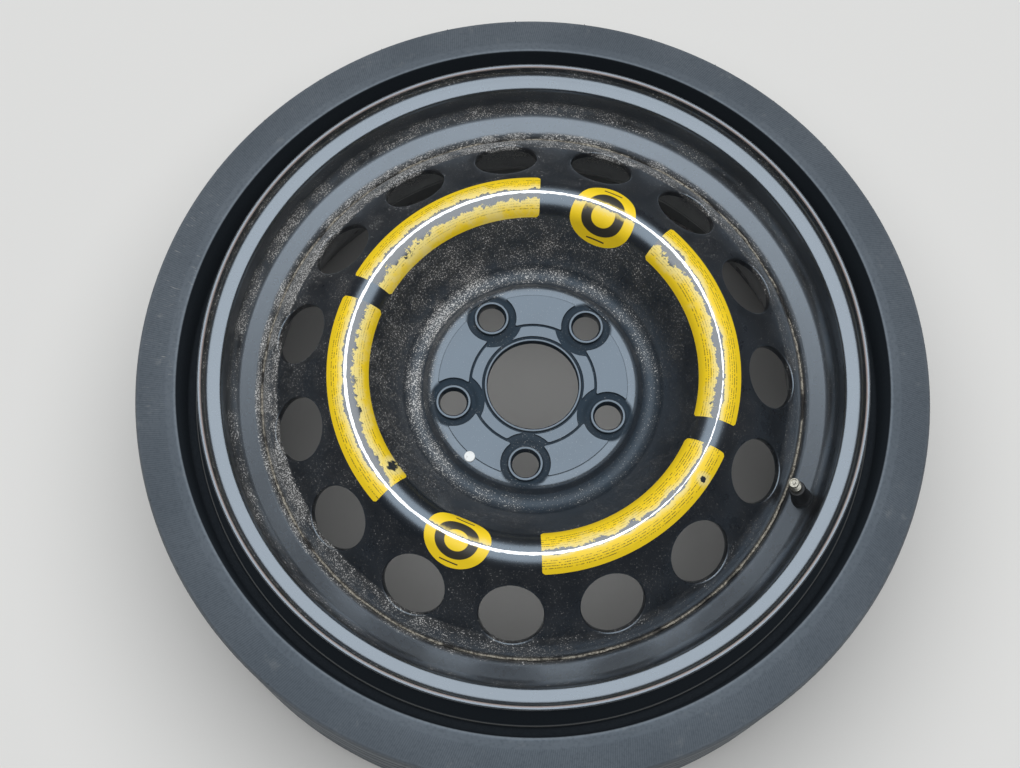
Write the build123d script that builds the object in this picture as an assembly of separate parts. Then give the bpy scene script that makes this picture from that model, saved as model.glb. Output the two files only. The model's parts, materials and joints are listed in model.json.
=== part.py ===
from build123d import *
import os
from math import cos, radians, sin, tan

os.makedirs("parts", exist_ok=True)

# Folding spare wheel, lying with its outer face up.
# The origin is the centre of the hub mounting face, +Z points outwards along the
# wheel axis and +X runs through the tyre valve. Lengths in mm, angles in degrees.

# Rim: one rolled steel sheet with a lip and a bead seat at each side and a well between
rim_width = 189.0
wheel_offset = 53.0
rim_sheet = 3.0
bead_seat_radius = 218.3
bead_seat_width = 26.0
flange_height = 12.2
lip_depth = 12.0
lip_bevel = 5.0
well_depth = 24.0
well_width = 50.0
ledge_slope = 20.0

# Disc: one pressed steel sheet with a raised hub, a moat, a crown and a vented slope
disc_sheet = 5.0
hub_radius = 72.0
hub_shoulder = 7.0
moat_depth = 9.2
moat_width = 9.4
dish_slope = 60.0
crown_height = 48.0
crown_bend = 17.0
vent_slope = 40.0
flange_bend = 20.0
flange_length = 30.0
flange_gap = 0.1
vent_count = 15
vent_radius = 22.3
vent_step = 37.6

# Hub face: raised pads with a round pocket and a seat ring at each bolt hole
pad_height = 0.8
pad_margin = 3.0
bore_radius = 32.05
bolt_count = 5
bolt_circle_radius = 57.15
bolt_hole_radius = 9.3
bolt_seat_radius = 10.4
bolt_seat_depth = 3.0
bolt_ring_radius = 12.4
bolt_ring_height = 1.4
bolt_pocket_radius = 19.0

# Weld beads between the back end of the disc and the rim well
weld_count = 5
weld_arc = 24.0
weld_leg = 4.0
weld_gap = 0.05

# Labels laid over the crown: four arcs and two discs
label_sheet = 0.2
label_gap = 0.05
label_inner_margin = 0.5
label_outer_margin = 2.4
arc_label_sweep = 63.3
arc_label_starts = [7.0, 111.3, 181.2, 295.4]
round_label_radius = 20.5
round_label_angles = [89.7, 269.9]
round_label_step = -3.5

# Tyre: folded, each sidewall tucked into a groove beside the rim lip
bead_width = 19.0
bead_gap = 0.1
bead_top_drop = 1.5
groove_step = 7.0
groove_width = 6.0
groove_depth = 46.0
crest_step = 3.0
crest_width = 5.0
crest_depth = 16.0
sidewall_width = 24.0
sidewall_drop = 9.0
shoulder_width = 1.5
shoulder_drop = 5.0
casing = 8.0
tread_thickness = 11.0
tread_grooves_per_side = 2
tread_rib_width = 20.0
tread_groove_width = 6.0
tread_groove_depth = 4.0
tread_groove_taper = 1.0

# Snap-in valve, square to the rim ledge
valve_step = 15.3
valve_hole_radius = 5.75
valve_height = 32.0
body_base_width = 1.6
body_top_radius = 5.6
body_height = 21.0
body_foot_width = 3.8
body_foot_height = 8.0
body_gap = 0.05
stem_radius = 3.85
stem_root_radius = 3.4
stem_bore_radius = 2.6
stem_step_height = 13.0

# Valve core: plug and barrel in the stem, and a sprung pin whose cup closes the barrel from below
core_gap = 0.05
core_recess = 1.0
core_bore_radius = 1.1
plug_length = 3.5
barrel_length = 5.5
barrel_inset = 0.45
seal_length = 2.0
seal_drop = 1.0
pin_radius = 0.8
pin_recess = 0.4
cup_radius = 1.9
cup_height = 1.6
cup_seal_height = 0.8
pin_tail = 9.5
spring_wire = 0.4
spring_turns = 4

front_lip_z = rim_width / 2 - wheel_offset
back_lip_z = -rim_width / 2 - wheel_offset
front_wall_z = front_lip_z - lip_depth
back_wall_z = back_lip_z + lip_depth
ledge_top_z = front_wall_z - bead_seat_width
lip_radius = bead_seat_radius + flange_height
well_radius = bead_seat_radius - well_depth
well_inside_radius = well_radius - rim_sheet
dish_foot_radius = hub_radius + hub_shoulder + moat_width
moat_z = disc_sheet - moat_depth
core_top = valve_height - core_recess
barrel_top = core_top - plug_length - core_gap
cup_seal_top = barrel_top - barrel_length - core_gap
cup_top = cup_seal_top - cup_seal_height - core_gap
spring_top = cup_top - cup_height - core_gap


def turned(outline, arc=360.0):
    """Solid of revolution about Z from a closed outline of (radius, height) points."""
    return revolve(Plane.XZ * make_face(outline), Axis.Z, revolution_arc=arc)


def turned_polygon(*points, arc=360.0):
    """Solid of revolution about Z from the corners of its section."""
    return turned(Polyline(*points, close=True), arc)


def tube(inner, outer, low, high):
    """Plain ring about Z."""
    return turned_polygon((inner, low), (outer, low), (outer, high), (inner, high))


def bent_sheet(corners, bends, thickness, arc=360.0):
    """Ring of bent sheet, laid on the right-hand side of a run of (radius, height) corners.

    bends holds the bend radius of that run at each corner between its ends, 0 for a sharp one.
    """
    points = [Vector(*corner) for corner in corners]
    ways = [(after - before).normalized() for before, after in zip(points, points[1:])]
    rights = [Vector(way.Y, -way.X) for way in ways]
    turns = [before.cross(after).Z for before, after in zip(ways, ways[1:])]
    mitres = [(one + two) / (1 + one.dot(two)) for one, two in zip(rights, rights[1:])]
    far_points = [
        point + step * thickness for point, step in zip(points, [rights[0], *mitres, rights[-1]])
    ]
    far_bends = [
        max(bend + (thickness if turn > 0 else -thickness), 0) if bend else 0
        for bend, turn in zip(bends, turns)
    ]
    near_face = FilletPolyline(*points, radius=bends)
    far_face = FilletPolyline(*far_points, radius=far_bends)
    ends = [Line(points[0], far_points[0]), Line(points[-1], far_points[-1])]
    return turned(near_face + far_face + ends, arc)


def ring_of(count, shape):
    """Copies of a shape, evenly spaced about the wheel axis, the first one where it is."""
    return [Rot(0, 0, 360.0 * step / count) * shape for step in range(count)]


def crown_centre():
    """Centre of the crown's bend, worked out from the foot of the dish wall."""
    slope = radians(dish_slope)
    bend_z = crown_height - crown_bend
    dish_end_z = bend_z + crown_bend * cos(slope)
    dish_end_radius = dish_foot_radius + (dish_end_z - moat_z) / tan(slope)
    return Vector(dish_end_radius + crown_bend * sin(slope), bend_z)


def crown_apex(bend):
    """Corner where the dish wall and the vented slope would meet, for a bend about the crown's centre."""
    half_turn = radians(dish_slope + vent_slope) / 2
    lean = radians(dish_slope - vent_slope) / 2
    return crown_centre() + Vector(-sin(lean), cos(lean)) * (bend / cos(half_turn))


def slope_height(radius, bend):
    """Height of the vented slope's face at a radius, for a bend about the crown's centre."""
    apex = crown_apex(bend)
    return apex.Y - (radius - apex.X) * tan(radians(vent_slope))


def disc_corners():
    """Corners of the disc's outer face, from the bore to the back end of its flange."""
    flange_radius = well_inside_radius - flange_gap
    slope_end_z = slope_height(flange_radius, crown_bend)
    bend_end_z = slope_end_z - flange_bend * tan(radians(90 - vent_slope) / 2)
    apex = crown_apex(crown_bend)
    return [
        (bore_radius, disc_sheet),
        (hub_radius, disc_sheet),
        (hub_radius + hub_shoulder, moat_z),
        (dish_foot_radius, moat_z),
        (apex.X, apex.Y),
        (flange_radius, slope_end_z),
        (flange_radius, bend_end_z - flange_length),
    ]


def valve_frame():
    """Plane on the inside face of the ledge, its Z axis along the valve and out of the rim."""
    lean = radians(ledge_slope)
    face_z = ledge_top_z - valve_step * tan(lean) + rim_sheet / cos(lean)
    return Plane((bead_seat_radius - valve_step, 0, face_z), z_dir=(-sin(lean), 0, cos(lean)))


def make_rim():
    well_front_z = ledge_top_z - well_depth * tan(radians(ledge_slope))
    corners = [
        (lip_radius, front_lip_z),
        (lip_radius, front_wall_z + lip_bevel),
        (lip_radius - lip_bevel, front_wall_z),
        (bead_seat_radius, front_wall_z),
        (bead_seat_radius, ledge_top_z),
        (well_radius, well_front_z),
        (well_radius, well_front_z - well_width),
        (bead_seat_radius, back_wall_z + bead_seat_width),
        (bead_seat_radius, back_wall_z),
        (lip_radius - lip_bevel, back_wall_z),
        (lip_radius, back_wall_z - lip_bevel),
        (lip_radius, back_lip_z),
    ]
    valve_hole = valve_frame() * Cylinder(valve_hole_radius, 4 * rim_sheet)
    return bent_sheet(corners, [0] * (len(corners) - 2), rim_sheet) - valve_hole


def make_disc():
    disc = bent_sheet(disc_corners(), [0, 0, 0, crown_bend, flange_bend], disc_sheet)
    upright = (Align.CENTER, Align.CENTER, Align.MIN)
    at_bolt = Pos(bolt_circle_radius, 0, disc_sheet)

    pads = tube(bore_radius, hub_radius - pad_margin, disc_sheet, disc_sheet + pad_height)
    pads -= ring_of(bolt_count, at_bolt * Cylinder(bolt_pocket_radius, 4 * pad_height))
    disc += pads
    disc += ring_of(bolt_count, at_bolt * Cylinder(bolt_ring_radius, bolt_ring_height, align=upright))

    seat = Cone(bolt_hole_radius, bolt_seat_radius, bolt_seat_depth, align=upright)
    disc -= ring_of(bolt_count, at_bolt * Pos(0, 0, bolt_ring_height - bolt_seat_depth) * seat)
    disc -= ring_of(bolt_count, at_bolt * Cylinder(bolt_hole_radius, 4 * disc_sheet))

    lean = radians(vent_slope)
    vent_circle_radius = crown_centre().X + vent_step
    vent_centre = (vent_circle_radius, 0, slope_height(vent_circle_radius, crown_bend))
    vent = Plane(vent_centre, z_dir=(sin(lean), 0, cos(lean))) * Cylinder(vent_radius, 6 * disc_sheet)
    disc -= ring_of(vent_count, vent)
    return disc


def make_welds():
    disc_end_z = disc_corners()[-1][1]
    outer = well_inside_radius - weld_gap
    bead = turned_polygon(
        (outer, disc_end_z),
        (outer - weld_leg, disc_end_z),
        (outer, disc_end_z - weld_leg),
        arc=weld_arc,
    )
    return ring_of(weld_count, Rot(0, 0, 180 / weld_count - weld_arc / 2) * bead)


def label_band(arc, inner_margin, outer_margin):
    """Thin skin over the crown that runs past both ends of its bend by the margins."""
    skin_bend = crown_bend + label_gap + label_sheet
    apex = crown_apex(skin_bend)
    inner_radius = crown_centre().X - skin_bend * sin(radians(dish_slope)) - inner_margin
    outer_radius = crown_centre().X + skin_bend * sin(radians(vent_slope)) + outer_margin
    inner_z = apex.Y - (apex.X - inner_radius) * tan(radians(dish_slope))
    corners = [
        (inner_radius, inner_z),
        (apex.X, apex.Y),
        (outer_radius, slope_height(outer_radius, skin_bend)),
    ]
    return bent_sheet(corners, [skin_bend], label_sheet, arc)


def make_arc_labels():
    band = label_band(arc_label_sweep, label_inner_margin, label_outer_margin)
    return [Rot(0, 0, start) * band for start in arc_label_starts]


def make_round_labels():
    sector = 2 * round_label_radius
    band = Rot(0, 0, -sector / 2) * label_band(sector, round_label_radius, round_label_radius)
    centre = Pos(crown_centre().X + round_label_step, 0, crown_height)
    label = band & centre * Cylinder(round_label_radius, 8 * crown_bend)
    return [Rot(0, 0, angle) * label for angle in round_label_angles]


def make_tyre():
    seat = bead_seat_radius + bead_gap
    heel = lip_depth + bead_gap
    groove_inner = lip_radius + groove_step
    groove_outer = groove_inner + groove_width
    crest_inner = groove_outer + crest_step
    crest_outer = crest_inner + crest_width
    shoulder_radius = crest_outer + sidewall_width
    tyre_radius = shoulder_radius + shoulder_width
    shoulder_depth = crest_depth + sidewall_drop
    tread_depth = shoulder_depth + shoulder_drop
    outside = [
        (seat, heel + bead_width),
        (seat, heel),
        (lip_radius - bead_top_drop, heel),
        (groove_inner, groove_depth),
        (groove_outer, groove_depth),
        (crest_inner, crest_depth),
        (crest_outer, crest_depth),
        (shoulder_radius, shoulder_depth),
        (tyre_radius, tread_depth),
    ]
    for groove in range(tread_grooves_per_side):
        start = tread_depth + tread_rib_width + groove * (tread_rib_width + tread_groove_width)
        end = start + tread_groove_width
        floor_radius = tyre_radius - tread_groove_depth
        outside += [
            (tyre_radius, start),
            (floor_radius, start + tread_groove_taper),
            (floor_radius, end - tread_groove_taper),
            (tyre_radius, end),
        ]
    inside = [
        (tyre_radius - tread_thickness, tread_depth),
        (crest_outer, crest_depth + casing),
        (groove_outer + casing, groove_depth + casing),
        (groove_inner - casing, groove_depth + casing),
    ]
    section = [(radius, front_lip_z - depth) for radius, depth in outside]
    section += [(radius, back_lip_z + depth) for radius, depth in reversed(outside)]
    section += [(radius, back_lip_z + depth) for radius, depth in reversed(inside)]
    section += [(radius, front_lip_z - depth) for radius, depth in inside]
    return turned_polygon(*section)


def make_valve_body():
    foot_top = -rim_sheet - body_gap
    foot_low = foot_top - body_foot_height
    inside = stem_root_radius + body_gap
    return turned_polygon(
        (inside, foot_low),
        (valve_hole_radius + body_foot_width, foot_low),
        (valve_hole_radius + body_foot_width, foot_top),
        (valve_hole_radius - body_gap, foot_top),
        (valve_hole_radius - body_gap, body_gap),
        (valve_hole_radius + body_base_width, body_gap),
        (body_top_radius, body_height),
        (inside, body_height),
    )


def make_stem():
    foot_low = -rim_sheet - body_gap - body_foot_height
    step_radius = (stem_bore_radius + core_gap) / 2
    shoulder = body_height + body_gap
    return turned_polygon(
        (step_radius, foot_low),
        (stem_root_radius, foot_low),
        (stem_root_radius, shoulder),
        (stem_radius, shoulder),
        (stem_radius, valve_height),
        (stem_bore_radius, valve_height),
        (stem_bore_radius, stem_step_height),
        (step_radius, stem_step_height),
    )


def make_core_pin():
    tail_low = cup_top - cup_height - pin_tail
    return turned_polygon(
        (0, valve_height - pin_recess),
        (pin_radius, valve_height - pin_recess),
        (pin_radius, cup_top),
        (cup_radius, cup_top),
        (cup_radius, cup_top - cup_height),
        (pin_radius, cup_top - cup_height),
        (pin_radius, tail_low),
        (0, tail_low),
    )


def make_core_spring():
    low = stem_step_height + core_gap
    coil_length = spring_top - low - spring_wire
    coil = Helix(coil_length / spring_turns, coil_length, (pin_radius + stem_bore_radius) / 2)
    wire = Plane(coil @ 0, z_dir=coil % 0) * Rectangle(spring_wire, spring_wire)
    return Pos(0, 0, low + spring_wire / 2) * sweep(wire, path=coil, is_frenet=True)


barrel_radius = stem_bore_radius - barrel_inset
plug_radius = stem_bore_radius - core_gap
seal_top = barrel_top - seal_drop
on_valve = valve_frame()
parts = {
    "rim": [make_rim()],
    "wheel_disc": [make_disc()],
    "weld_beads": make_welds(),
    "arc_labels": make_arc_labels(),
    "round_labels": make_round_labels(),
    "tyre": [make_tyre()],
    "valve_body": [on_valve * make_valve_body()],
    "valve_stem": [on_valve * make_stem()],
    "core_plug": [on_valve * tube(core_bore_radius, plug_radius, core_top - plug_length, core_top)],
    "core_barrel": [on_valve * tube(core_bore_radius, barrel_radius, barrel_top - barrel_length, barrel_top)],
    "core_seal": [on_valve * tube(barrel_radius + core_gap, plug_radius, seal_top - seal_length, seal_top)],
    "core_pin": [on_valve * make_core_pin()],
    "cup_seal": [on_valve * tube(pin_radius + core_gap, cup_radius, cup_top + core_gap, cup_seal_top)],
    "core_spring": [on_valve * make_core_spring()],
}
for name, solids in parts.items():
    export_step(Compound(solids) if len(solids) > 1 else solids[0], f"parts/{name}.step")
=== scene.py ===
# %% [markdown]
# # Folding spare wheel
# A pressed steel wheel lies on its back lip with its outer face up. A flat, folded tyre hugs
# the rim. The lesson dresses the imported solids: each visible sheet is turned again with the
# rounded bends that a press leaves, and every finish is worked out from the wheel's own radius,
# height and angle.

# %% Load the frame
import json
import math

import bmesh
import bpy
from mathutils import Matrix, Vector, noise


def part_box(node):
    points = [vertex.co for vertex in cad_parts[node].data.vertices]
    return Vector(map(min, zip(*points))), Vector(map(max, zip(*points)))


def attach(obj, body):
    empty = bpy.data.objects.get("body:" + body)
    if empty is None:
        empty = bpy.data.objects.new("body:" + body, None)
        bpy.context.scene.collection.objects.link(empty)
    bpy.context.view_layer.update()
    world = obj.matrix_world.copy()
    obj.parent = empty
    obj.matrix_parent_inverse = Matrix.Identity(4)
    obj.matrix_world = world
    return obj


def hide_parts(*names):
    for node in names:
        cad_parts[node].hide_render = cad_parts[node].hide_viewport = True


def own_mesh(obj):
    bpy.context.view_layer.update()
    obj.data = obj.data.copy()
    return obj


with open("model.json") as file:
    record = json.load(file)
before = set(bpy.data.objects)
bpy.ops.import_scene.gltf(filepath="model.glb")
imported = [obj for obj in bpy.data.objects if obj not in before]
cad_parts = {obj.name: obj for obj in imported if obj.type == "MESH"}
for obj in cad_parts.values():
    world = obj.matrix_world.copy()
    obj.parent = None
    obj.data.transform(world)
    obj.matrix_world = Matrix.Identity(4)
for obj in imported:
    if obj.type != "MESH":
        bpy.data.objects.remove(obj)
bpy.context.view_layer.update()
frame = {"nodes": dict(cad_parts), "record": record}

mm = 0.001
print("nodes:", ", ".join(sorted(frame["nodes"])))

# %% [markdown]
# ## Sizes
# The radii and heights that the new pieces share with the solids are read from the frame, so
# that the pieces stay where the solids are. The rest are the wheel maker's own sizes: sheet
# thickness, slopes and bends.

# %% Read the shared sizes
rim_low, rim_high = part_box("rim")
disc_low, disc_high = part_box("wheel_disc")
tyre_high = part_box("tyre")[1]
mounts = {mount["name"]: mount for mount in frame["record"]["mounts"]}
bore_radius = mounts["hub_bore"]["dims"]["r_mm"] * mm
bolts = mounts["wheel_bolts"]["dims"]
bolt_circle = bolts["pcd_mm"] / 2 * mm
bolt_hole = bolts["hole_r_mm"] * mm
bolt_count = bolts["count"]
bolt_pitch = 2 * math.pi / bolt_count
lip_radius, front_lip, back_lip = rim_high.x, rim_high.z, rim_low.z
crown_top, flange_radius, flange_end = disc_high.z, disc_high.x, disc_low.z
box_clearance = 0.1 * mm
tyre_radius, tyre_front = tyre_high.x - box_clearance, tyre_high.z
middle = (front_lip + back_lip) / 2
print(f"lip radius {lip_radius / mm:.1f} mm, tyre radius {tyre_radius / mm:.1f} mm")

# %% [markdown]
# ## Shader arithmetic
# A finish is a sum of masks: dust here, wear there. Writing them as plain arithmetic is easier
# to read than a drawn net, so a small class wraps a socket and every operator adds a Math node.
# The finish itself has one method for any other node.

# %% Socket arithmetic
class Signal:
    """A shader socket that takes part in Python arithmetic."""

    def __init__(self, finish, socket):
        self.finish = finish
        self.socket = socket

    def math(self, operation, *others):
        values = dict(enumerate((self, *others)))
        return self.finish.node("ShaderNodeMath", {"operation": operation}, values)

    def __add__(self, other):
        return self.math("ADD", other)

    def __sub__(self, other):
        return self.math("SUBTRACT", other)

    def __rsub__(self, other):
        return self.finish.node("ShaderNodeMath", {"operation": "SUBTRACT"}, {0: other, 1: self})

    def __mul__(self, other):
        return self.math("MULTIPLY", other)

    def __truediv__(self, other):
        return self.math("DIVIDE", other)

    __radd__ = __add__
    __rmul__ = __mul__

    def size(self):
        return self.math("ABSOLUTE")

    def most(self, other):
        return self.math("MAXIMUM", other)

    def least(self, other):
        return self.math("MINIMUM", other)

    def span(self, other):
        """Length of a step by self and a step by other, square to it."""
        return (self * self + other * other).math("SQRT")

    def rise(self, start, end):
        """0 before start, 1 after end, and a smooth step between; end may lie below start."""
        settings = {"interpolation_type": "SMOOTHSTEP"}
        sockets = {"Value": self, "From Min": start, "From Max": end}
        return self.finish.node("ShaderNodeMapRange", settings, sockets)

    def band(self, low, high, edge):
        """1 between low and high, with soft edges."""
        return self.rise(low - edge, low + edge) * self.rise(high + edge, high - edge)


class Finish:
    """One material: a Principled shader whose sockets are fed by signals."""

    def __init__(self, name, constants):
        self.material = bpy.data.materials.new(name)
        self.material.use_nodes = True
        self.tree = self.material.node_tree
        self.shader = self.tree.nodes["Principled BSDF"]
        for socket, value in constants.items():
            self.shader.inputs[socket].default_value = value
        self.place = self.node("ShaderNodeTexCoord", {}, {}, "Object")
        self.x, self.y, self.z = [self.share(self.place, axis) for axis in "XYZ"]
        self.radius = self.x.span(self.y)
        self.angle = self.y.math("ARCTAN2", self.x)

    def node(self, kind, settings, sockets, output=0):
        node = self.tree.nodes.new(kind)
        for name, value in settings.items():
            setattr(node, name, value)
        for name, value in sockets.items():
            if isinstance(value, Signal):
                self.tree.links.new(value.socket, node.inputs[name])
            else:
                node.inputs[name].default_value = value
        return Signal(self, node.outputs[output])

    def share(self, vector, axis):
        """One of a vector's three numbers."""
        return self.node("ShaderNodeSeparateXYZ", {}, {"Vector": vector}, axis)

    def noise(self, scale, detail=3.0, rough=0.55, where=None):
        sockets = {
            "Vector": where or self.place, "Scale": scale, "Detail": detail, "Roughness": rough,
        }
        return self.node("ShaderNodeTexNoise", {}, sockets)

    def mix(self, mask, under, over):
        """Colour under, covered by colour over where the mask is 1."""
        return self.node("ShaderNodeMix", {"data_type": "RGBA"}, {0: mask, 6: under, 7: over}, 2)

    def towards(self, degrees):
        """1 on the side of the wheel at an angle, falling to -1 on the far side."""
        return (self.angle - math.radians(degrees)).math("COSINE")

    def bump(self, height, strength, distance):
        sockets = {"Strength": strength, "Distance": distance, "Height": height}
        self.feed({"Normal": self.node("ShaderNodeBump", {}, sockets)})

    def feed(self, signals):
        for socket, signal in signals.items():
            self.tree.links.new(signal.socket, self.shader.inputs[socket])


print("socket arithmetic ready")

# %% [markdown]
# ## Camera, floor and light
# The camera stands where the photograph was taken: almost overhead, leaning a sixth of a right
# angle. Its right-hand side is turned about the wheel axis because the valve points along X.
# One wide sheet of light hangs overhead, like a bright overcast sky. Every level piece of paint
# mirrors it as a pale band, and slopes mirror the dim surroundings and stay black.

# %% Camera
def add_object(name, data):
    """New object in the scene."""
    thing = bpy.data.objects.new(name, data)
    bpy.context.collection.objects.link(thing)
    return thing


def mesh_of(name, bm):
    """Mesh of a finished bmesh, which is freed."""
    mesh = bpy.data.meshes.new(name)
    bm.to_mesh(mesh)
    bm.free()
    return mesh


camera_place = Vector((117.8, -336.0, 1220.0)) * mm
camera_aim = Vector((-11.1, -15.6, 41.5)) * mm
picture_turn = math.radians(23.5)
backwards = (camera_place - camera_aim).normalized()
sideways = Vector((math.cos(picture_turn), math.sin(picture_turn), 0))
sideways = (sideways - backwards * sideways.dot(backwards)).normalized()
upwards = backwards.cross(sideways)
camera = add_object("camera", bpy.data.cameras.new("camera"))
camera.data.sensor_width = 36
camera.data.lens = 63.53
camera.data.clip_end = 50
camera_turn = Matrix((sideways, upwards, backwards)).transposed().to_4x4()
camera.matrix_world = Matrix.Translation(camera_place) @ camera_turn
bpy.context.scene.camera = camera
print("camera at", [round(c, 3) for c in camera_place])

# %% Floor and sky
floor_reach = 30
floor_mesh = bmesh.new()
bmesh.ops.create_grid(floor_mesh, x_segments=1, y_segments=1, size=floor_reach)
bmesh.ops.translate(floor_mesh, verts=floor_mesh.verts, vec=(0, 0, back_lip))
floor = add_object("floor", mesh_of("floor", floor_mesh))
floor_board = Finish("floor_board", {"Base Color": (0.74, 0.71, 0.67, 1), "Roughness": 0.85})
floor.data.materials.append(floor_board.material)

sky = bpy.data.worlds.new("sky")
sky.use_nodes = True
sky_light = sky.node_tree.nodes["Background"]
sky_light.inputs["Color"].default_value = (0.80, 0.88, 1.0, 1)
sky_light.inputs["Strength"].default_value = 0.06
bpy.context.scene.world = sky
print(f"floor at {back_lip / mm:.1f} mm, {2 * floor_reach} m wide")


# %% Lamp
def standing(foot, way):
    """Frame at a foot point, with its Z axis along a way."""
    return Matrix.Translation(foot) @ way.to_track_quat("Z", "Y").to_matrix().to_4x4()


lamp_way = Vector((-0.04, 0.12, 1.0)).normalized()
lamp_distance = 12.0
lamp = add_object("overcast", bpy.data.lights.new("overcast", "AREA"))
lamp.data.shape = "DISK"
lamp.data.size = 18.4
lamp.data.energy = 2300
lamp.data.color = (0.92, 0.96, 1.0)
lamp.matrix_world = standing(lamp_way * lamp_distance, lamp_way)
print(f"lamp: {lamp.data.energy} W, {lamp.data.size:.1f} m wide")

bpy.context.scene.view_settings.view_transform = "Standard"

# %% [markdown]
# ## Turning and pressing
# Most of a wheel is sheet or rubber turned about one axis. A section is drawn as a run of
# corners, the bevel operator rounds each corner to its bend, and spin carries the run round the
# axis. Rounding the section before it is spun costs a few vertices; rounding edges of the
# finished ring would cost thousands and fail where bends meet.

# %% Helpers for turned pieces
merge_gap = 1e-6
small_steps = 64


def round_off(bm, geom, reach, steps, affect="EDGES", clamp=False):
    """Round bevel that starts a reach away from every given edge or vertex."""
    bmesh.ops.bevel(
        bm, geom=geom, offset=reach, offset_type="OFFSET", segments=steps, profile=0.5,
        affect=affect, material=-1, clamp_overlap=clamp,
    )


def draw_run(bm, corners, bends=(), steps=6, closed=False):
    """Run of edges through (radius, height) corners, each rounded to its bend radius."""
    verts = [bm.verts.new((radius, 0, height)) for radius, height in corners]
    pairs = list(zip(verts, verts[1:])) + ([(verts[-1], verts[0])] if closed else [])
    for pair in pairs:
        bm.edges.new(pair)
    for vert, bend in zip(verts, bends):
        if bend and len(vert.link_edges) == 2:
            one, two = [edge.other_vert(vert).co - vert.co for edge in vert.link_edges]
            reach = bend * math.tan((math.pi - one.angle(two)) / 2)
            round_off(bm, [vert], reach, steps, "VERTICES")


def outwards(bm):
    """Points the faces outwards."""
    bmesh.ops.recalc_face_normals(bm, faces=bm.faces)


def close_up(bm, gap=merge_gap):
    """Merges doubles and points the faces outwards."""
    bmesh.ops.remove_doubles(bm, verts=bm.verts, dist=gap)
    outwards(bm)


def face_up(bm):
    """Points the faces of an open sheet one way, with its front up."""
    outwards(bm)
    if sum(face.normal.z for face in bm.faces) < 0:
        bmesh.ops.reverse_faces(bm, faces=bm.faces)


def sweep_round(bm, angle, steps, **how):
    """Spins everything drawn so far about the wheel axis."""
    bmesh.ops.spin(
        bm, geom=bm.verts[:] + bm.edges[:] + bm.faces[:], cent=(0, 0, 0), axis=(0, 0, 1),
        angle=angle, steps=steps, **how,
    )


def turn(bm, steps):
    """Full turn of a run of edges."""
    bmesh.ops.remove_doubles(bm, verts=bm.verts, dist=merge_gap)
    sweep_round(bm, 2 * math.pi, steps, use_merge=True)
    close_up(bm)


def revolve(corners, bends=(), steps=small_steps, bend_steps=4, closed=True):
    """Bmesh of a section that is drawn and turned."""
    bm = bmesh.new()
    draw_run(bm, corners, bends, bend_steps, closed)
    turn(bm, steps)
    return bm


def wind(bm, turns, turn_steps, rise):
    """Winds a closed outline into a coil that climbs by a rise, and fills its ends."""
    steps = turns * turn_steps
    sweep_round(bm, 2 * math.pi * turns, steps, dvec=(0, 0, rise / steps))
    bmesh.ops.holes_fill(bm, edges=bm.edges[:])
    outwards(bm)


def move(bm, matrix):
    """Moves everything by a matrix."""
    bmesh.ops.transform(bm, matrix=matrix, verts=bm.verts)


def copy_round(bm, count):
    """Copies everything about the wheel axis, so that there are count of it."""
    sweep_round(bm, 2 * math.pi * (count - 1) / count, count - 1, use_duplicate=True)


def pour(part, bm, angles=(0.0,)):
    """Adds a part to a larger bmesh, once at each angle about the wheel axis."""
    mould = mesh_of("mould", part)
    for angle in angles:
        before = len(bm.verts)
        bm.from_mesh(mould)
        bm.verts.ensure_lookup_table()
        turned = Matrix.Rotation(angle, 3, "Z")
        bmesh.ops.rotate(bm, verts=bm.verts[before:], cent=(0, 0, 0), matrix=turned)
    bpy.data.meshes.remove(mould)


def on_circle(radius, angle, height=0.0):
    """Point at a radius, an angle and a height."""
    return radius * math.cos(angle), radius * math.sin(angle), height


print("turning helpers ready")


# %% Sheet sections and pieces
crease_angle = math.radians(45)


def sheet_section(corners, bends, thickness):
    """Closed section of bent sheet on the right-hand side of a run of corners, with its bends."""
    points = [Vector(corner) for corner in corners]
    ways = [(after - before).normalized() for before, after in zip(points, points[1:])]
    rights = [Vector((way.y, -way.x)) for way in ways]
    turns = [one.x * two.y - one.y * two.x for one, two in zip(ways, ways[1:])]
    steps = [(one + two) / (1 + one.dot(two)) for one, two in zip(rights, rights[1:])]
    far = [point + step * thickness for point, step in zip(points, [rights[0], *steps, rights[-1]])]
    far_bends = [bend + math.copysign(thickness, turn) for bend, turn in zip(bends, turns)]
    section = [tuple(p) for p in points] + [tuple(p) for p in reversed(far)]
    end = 0.4 * thickness
    return section, [end, *bends, end, end, *reversed(far_bends), end]


def add_piece(name, bm, finish, replaced=(), body="wheel"):
    """Makes an object of a finished bmesh, gives it a finish and hangs it on its body."""
    mesh = mesh_of(name, bm)
    mesh.shade_smooth()
    mesh.set_sharp_from_angle(angle=crease_angle)
    mesh.materials.append(finish.material)
    piece = add_object(name, mesh)
    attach(piece, body)
    if replaced:
        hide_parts(*replaced)
    print(f"{name}: {len(mesh.polygons)} faces")
    return piece


print(f"edges sharper than {math.degrees(crease_angle):.0f} degrees stay sharp")

# %% [markdown]
# ## Black paint
# The steel is dipped in black paint. It is glossy where it was wiped, dull where road dust has
# settled, and rubbed to bright metal along edges that other things slide over. Dust follows
# gravity, so it gathers in troughs and on level ground, and its mask is built from radius bands.
# A noise of large patches breaks the bands up, and a fine one gives single grains.

# %% Black paint finish
paint_black = (0.008, 0.009, 0.011, 1)
dust_brown = (0.125, 0.107, 0.088, 1)
grit_pale = (0.62, 0.59, 0.55, 1)
bare_steel = (0.78, 0.77, 0.76, 1)
worn_edge = (0.34, 0.27, 0.24, 1)
dirty_side = 165


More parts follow.
